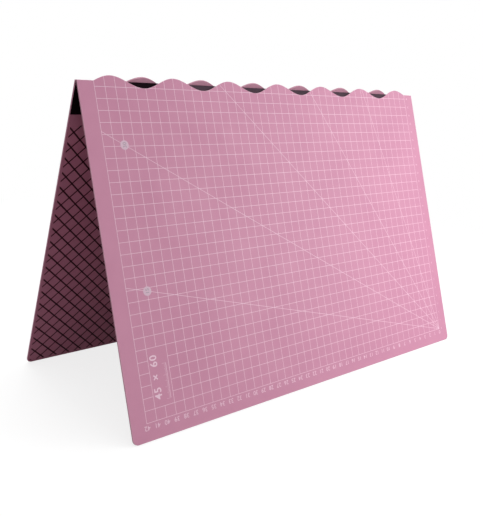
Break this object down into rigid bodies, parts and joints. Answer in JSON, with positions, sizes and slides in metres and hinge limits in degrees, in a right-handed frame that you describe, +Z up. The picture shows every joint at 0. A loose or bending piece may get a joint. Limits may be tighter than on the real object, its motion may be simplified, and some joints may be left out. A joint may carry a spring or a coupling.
{
  "type": "folding cutting mat",
  "caption": "Folding self-healing cutting mat: two laminated vinyl halves hinged on reverse tape along a wavy cut, standing as a tent and opening flat.",
  "frame": {"origin": "centre of the rectangle under the standing tent, at the height of the surface it stands on", "axes": "+X along the fold, -Y the way the front half's printed face looks, +Y the way the rear half's printed face looks, +Z up"},
  "size_m": [0.45, 0.201, 0.2884],
  "materials": {
    "front_print_sheet": "fine matt grain",
    "front_upper_ply": "matt",
    "front_core": "satin cut edge",
    "front_lower_ply": "matt",
    "front_reverse_sheet": "fine matt grain",
    "front_tape_leg": "satin film",
    "rear_print_sheet": "fine matt grain",
    "rear_upper_ply": "matt",
    "rear_core": "satin cut edge",
    "rear_lower_ply": "matt",
    "rear_reverse_sheet": "fine matt grain",
    "rear_tape_leg": "satin film"
  },
  "bodies": {
    "front_half": {"front_print_sheet": "front_print_sheet", "front_upper_ply": "front_upper_ply", "front_core": "front_core", "front_lower_ply": "front_lower_ply", "front_reverse_sheet": "front_reverse_sheet", "front_tape_leg": "front_tape_leg"},
    "rear_half": {"rear_print_sheet": "rear_print_sheet", "rear_upper_ply": "rear_upper_ply", "rear_core": "rear_core", "rear_lower_ply": "rear_lower_ply", "rear_reverse_sheet": "rear_reverse_sheet", "rear_tape_leg": "rear_tape_leg"}
  },
  "joints": [
    {"name": "fold_hinge", "type": "hinge", "parent": "front_half", "child": "rear_half", "pos_m": [0, 0, 0.28318], "axis": [1, 0, 0], "range_deg": [-38.4, 141.6]}
  ]
}
